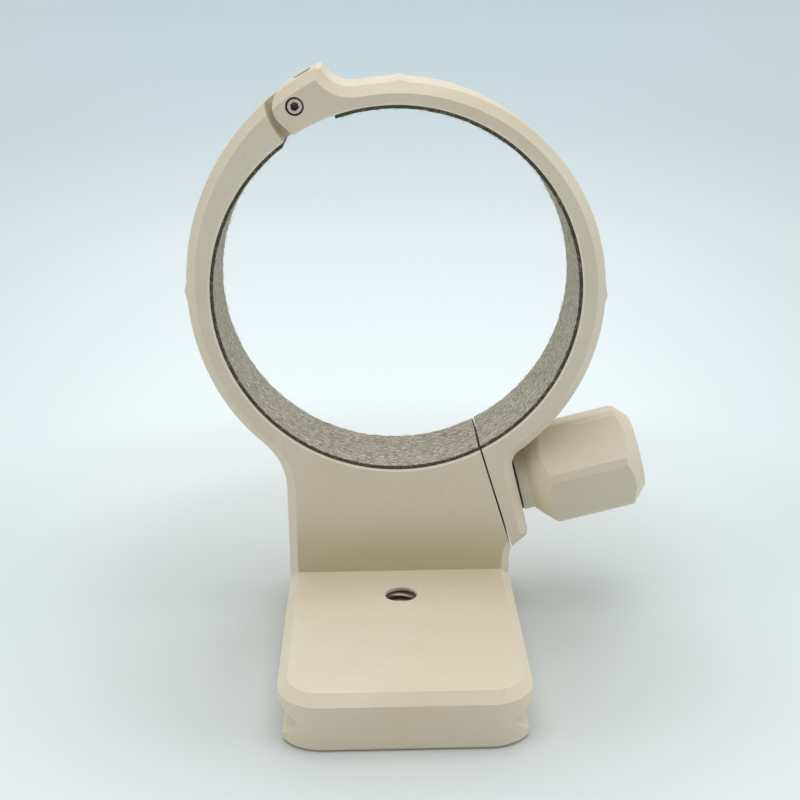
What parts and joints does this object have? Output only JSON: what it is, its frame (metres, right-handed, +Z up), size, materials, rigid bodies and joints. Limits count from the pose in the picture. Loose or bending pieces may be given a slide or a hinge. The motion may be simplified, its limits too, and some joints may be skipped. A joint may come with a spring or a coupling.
{
  "type": "lens tripod collar",
  "caption": "Hinged lens tripod collar with felt-lined split ring, hexagonal clamp knob and an L-shaped dovetail foot with a tripod thread.",
  "frame": {"origin": "middle of the ring's width projected straight down onto the underside of the foot, below the lens axis", "axes": "+Z up from the foot to the ring, lens axis along Y with the foot's toe towards -Y, clamp knob on the +X side"},
  "size_m": [0.0807, 0.062, 0.0973],
  "materials": {
    "painted_aluminium": "fine satin cream paint",
    "knob_paint": "satin cream paint",
    "felt": "short grey felt",
    "steel": "plain steel",
    "spring_steel": "dark oiled steel",
    "washer_nylon": "matt nylon",
    "brass": "turned brass"
  },
  "bodies": {
    "base": {"base_body": "painted_aluminium", "base_felt": "felt", "clamp_thread_bush": "brass"},
    "arm": {"clamp_arm": "painted_aluminium", "arm_felt": "felt", "hinge_pin": "steel", "hinge_grub_screw": "steel"},
    "washer": {"knob_washer": "washer_nylon"},
    "knob": {"clamp_knob": "knob_paint", "clamp_stud": "steel", "stud_clip": "spring_steel"}
  },
  "joints": [
    {"name": "arm_hinge", "type": "hinge", "parent": "base", "child": "arm", "pos_m": [-0.01619, 0, 0.09143], "axis": [0, -1, 0], "range_deg": [0, 95]},
    {"name": "knob_travel", "type": "slide", "parent": "arm", "child": "washer", "axis": [0.9715, 0, 0.2368], "range_m": [0, 0.006]},
    {"name": "knob_turn", "type": "hinge", "parent": "washer", "child": "knob", "pos_m": [0.02142, 0, 0.02307], "axis": [0.9715, 0, 0.2368], "range_deg": [0, 2700]}
  ],
  "couplings": [
    {"joint": "knob_travel", "follows": "knob_turn", "m_per_rad": 0.00012732}
  ]
}
